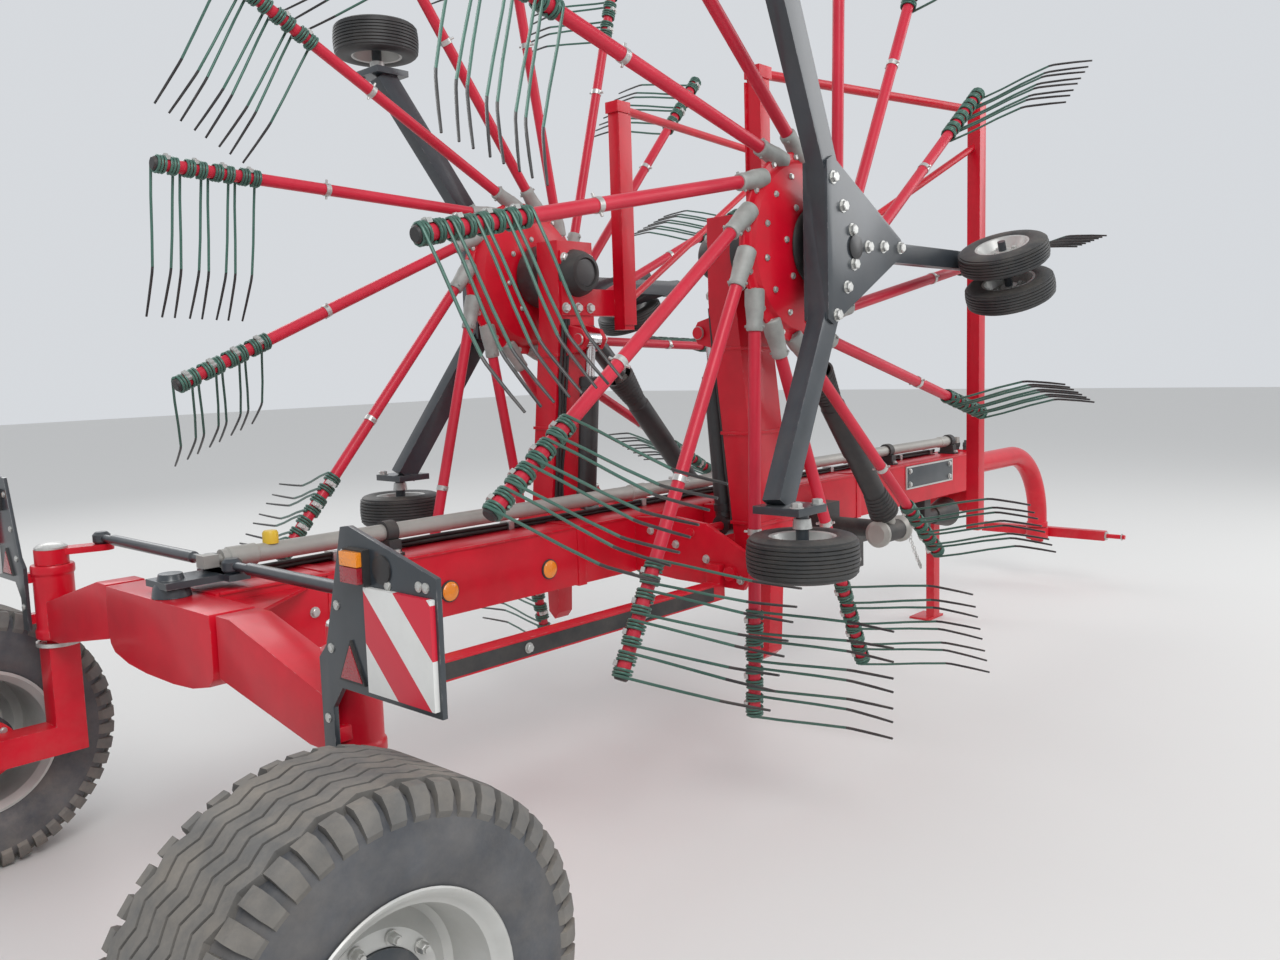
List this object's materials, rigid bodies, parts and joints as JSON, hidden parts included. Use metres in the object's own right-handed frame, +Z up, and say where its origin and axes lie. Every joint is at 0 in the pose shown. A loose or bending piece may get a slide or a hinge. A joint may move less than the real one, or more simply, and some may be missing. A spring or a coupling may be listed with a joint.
{
  "type": "folded twin rotor rake",
  "caption": "Towed hay rake folded for the road: steered rear axle, long beam, two tined rotors swung upright on booms with small guide wheels, and a swivelling hitch head.",
  "frame": {"origin": "on the ground, under the middle of the machine's length and width", "axes": "+X forward along the beam towards the hitch, +Y to the machine's left, +Z up"},
  "size_m": [6.545, 2.62, 3.5329],
  "materials": {
    "red_paint": "gloss",
    "dark_paint": "satin",
    "grey_steel": "satin",
    "cylinder_black": "satin",
    "chrome_rod": "polished",
    "tyre_rubber": "matte",
    "rim_silver": "satin",
    "guard_plastic": "matte",
    "board_paint": "satin",
    "lamp_plastic": "gloss"
  },
  "bodies": {
    "chassis": {"main_beam": "red_paint", "rear_arch": "red_paint", "boom_carrier": "red_paint", "side_rails": "red_paint", "steering_tube": "grey_steel", "tie_rods": "grey_steel", "gear_train": "guard_plastic", "warning_posts": "cylinder_black", "warning_boards": "board_paint", "lamps": "lamp_plastic"},
    "hitch": {"hitch_head": "red_paint"},
    "stand": {"parking_leg": "red_paint"},
    "steer_left": {"knuckle_left": "red_paint"},
    "wheel_left": {"tyre_left": "tyre_rubber", "rim_left": "rim_silver"},
    "boom_left": {"boom_left": "red_paint", "guard_left": "red_paint", "rotor_head_left": "cylinder_black", "undercarriage_left": "dark_paint"},
    "rotor_left": {"rotor_drum_left": "red_paint", "rotor_arms_left": "red_paint"},
    "barrel_left": {"lift_barrel_left": "cylinder_black"},
    "rod_left": {"lift_rod_left": "chrome_rod"},
    "drive_left": {"drive_shaft_left": "guard_plastic"},
    "guide_low_left": {"guide_wheel_low_left": "tyre_rubber"},
    "guide_high_left": {"guide_wheel_high_left": "tyre_rubber"},
    "castor_left": {"castor_fork_left": "dark_paint"},
    "castor_pair_left": {"castor_wheels_left": "tyre_rubber"},
    "steer_right": {"knuckle_right": "red_paint"},
    "wheel_right": {"tyre_right": "tyre_rubber", "rim_right": "rim_silver"},
    "boom_right": {"boom_right": "red_paint", "guard_right": "red_paint", "rotor_head_right": "cylinder_black", "undercarriage_right": "dark_paint"},
    "rotor_right": {"rotor_drum_right": "red_paint", "rotor_arms_right": "red_paint"},
    "barrel_right": {"lift_barrel_right": "cylinder_black"},
    "rod_right": {"lift_rod_right": "chrome_rod"},
    "drive_right": {"drive_shaft_right": "guard_plastic"},
    "guide_low_right": {"guide_wheel_low_right": "tyre_rubber"},
    "guide_high_right": {"guide_wheel_high_right": "tyre_rubber"},
    "castor_right": {"castor_fork_right": "dark_paint"},
    "castor_pair_right": {"castor_wheels_right": "tyre_rubber"}
  },
  "joints": [
    {"name": "hitch_swivel", "type": "hinge", "parent": "chassis", "child": "hitch", "pos_m": [3.1525, 0, 0.3525], "axis": [0, 0, 1], "range_deg": [-60, 60]},
    {"name": "stand_fold", "type": "hinge", "parent": "chassis", "child": "stand", "pos_m": [1.9225, 0.13, 0.73], "axis": [0, 1, 0], "range_deg": [0, 90]},
    {"name": "steering_left", "type": "hinge", "parent": "chassis", "child": "steer_left", "pos_m": [-2.6275, 0.84, 0.9], "axis": [0, 0, 1], "range_deg": [-22, 22]},
    {"name": "wheel_spin_left", "type": "hinge", "parent": "steer_left", "child": "wheel_left", "pos_m": [-2.8475, 1.13, 0.425], "axis": [0, 1, 0], "continuous": true},
    {"name": "boom_swing_left", "type": "hinge", "parent": "chassis", "child": "boom_left", "pos_m": [-0.7075, 0.55, 0.82], "axis": [-1, 0, 0], "range_deg": [0, 90]},
    {"name": "rotor_spin_left", "type": "hinge", "parent": "boom_left", "child": "rotor_left", "pos_m": [-0.7075, 0.7, 1.93], "axis": [0, 1, 0], "continuous": true},
    {"name": "barrel_swing_left", "type": "hinge", "parent": "chassis", "child": "barrel_left", "pos_m": [-0.7075, 0.37, 0.95], "axis": [-1, 0, 0], "range_deg": [0, 92]},
    {"name": "rod_slide_left", "type": "slide", "parent": "barrel_left", "child": "rod_left", "axis": [0, -0.0842, 0.9964], "range_m": [0, 0.32]},
    {"name": "drive_swing_left", "type": "hinge", "parent": "chassis", "child": "drive_left", "pos_m": [0.3025, 0.5, 0.8], "axis": [-1, 0, 0], "range_deg": [0, 92]},
    {"name": "guide_low_spin_left", "type": "hinge", "parent": "boom_left", "child": "guide_low_left", "pos_m": [-1.1775, 1.015, 0.97], "axis": [0, 0, 1], "continuous": true},
    {"name": "guide_high_spin_left", "type": "hinge", "parent": "boom_left", "child": "guide_high_left", "pos_m": [-1.1775, 1.015, 2.89], "axis": [0, 0, 1], "continuous": true},
    {"name": "castor_swivel_left", "type": "hinge", "parent": "boom_left", "child": "castor_left", "pos_m": [0.4125, 0.85, 1.93], "axis": [0, 1, 0], "range_deg": [0, 50]},
    {"name": "castor_spin_left", "type": "hinge", "parent": "castor_left", "child": "castor_pair_left", "pos_m": [0.27655, 1.015, 1.86661], "axis": [-0.4226, 0, 0.9063], "continuous": true},
    {"name": "steering_right", "type": "hinge", "parent": "chassis", "child": "steer_right", "pos_m": [-2.6275, -0.84, 0.9], "axis": [0, 0, 1], "range_deg": [-22, 22]},
    {"name": "wheel_spin_right", "type": "hinge", "parent": "steer_right", "child": "wheel_right", "pos_m": [-2.8475, -1.13, 0.425], "axis": [0, 1, 0], "continuous": true},
    {"name": "boom_swing_right", "type": "hinge", "parent": "chassis", "child": "boom_right", "pos_m": [-0.7075, -0.55, 0.82], "axis": [1, 0, 0], "range_deg": [0, 90]},
    {"name": "rotor_spin_right", "type": "hinge", "parent": "boom_right", "child": "rotor_right", "pos_m": [-0.7075, -0.7, 1.93], "axis": [0, 1, 0], "continuous": true},
    {"name": "barrel_swing_right", "type": "hinge", "parent": "chassis", "child": "barrel_right", "pos_m": [-0.7075, -0.37, 0.95], "axis": [1, 0, 0], "range_deg": [0, 92]},
    {"name": "rod_slide_right", "type": "slide", "parent": "barrel_right", "child": "rod_right", "axis": [0, 0.0842, 0.9964], "range_m": [0, 0.32]},
    {"name": "drive_swing_right", "type": "hinge", "parent": "chassis", "child": "drive_right", "pos_m": [0.3025, -0.5, 0.8], "axis": [1, 0, 0], "range_deg": [0, 92]},
    {"name": "guide_low_spin_right", "type": "hinge", "parent": "boom_right", "child": "guide_low_right", "pos_m": [-1.1775, -1.015, 0.97], "axis": [0, 0, 1], "continuous": true},
    {"name": "guide_high_spin_right", "type": "hinge", "parent": "boom_right", "child": "guide_high_right", "pos_m": [-1.1775, -1.015, 2.89], "axis": [0, 0, 1], "continuous": true},
    {"name": "castor_swivel_right", "type": "hinge", "parent": "boom_right", "child": "castor_right", "pos_m": [0.4125, -0.85, 1.93], "axis": [0, 1, 0], "range_deg": [0, 50]},
    {"name": "castor_spin_right", "type": "hinge", "parent": "castor_right", "child": "castor_pair_right", "pos_m": [0.27655, -1.015, 1.86661], "axis": [-0.4226, 0, 0.9063], "continuous": true}
  ],
  "couplings": [
    {"joint": "barrel_swing_left", "follows": "boom_swing_left", "ratio": 0.9853},
    {"joint": "rod_slide_left", "follows": "boom_swing_left", "m_per_rad": 0.1995},
    {"joint": "drive_swing_left", "follows": "boom_swing_left", "ratio": 1},
    {"joint": "barrel_swing_right", "follows": "boom_swing_right", "ratio": 0.9853},
    {"joint": "rod_slide_right", "follows": "boom_swing_right", "m_per_rad": 0.1995},
    {"joint": "drive_swing_right", "follows": "boom_swing_right", "ratio": 1},
    {"joint": "steering_left", "follows": "steering_right", "ratio": 1}
  ]
}
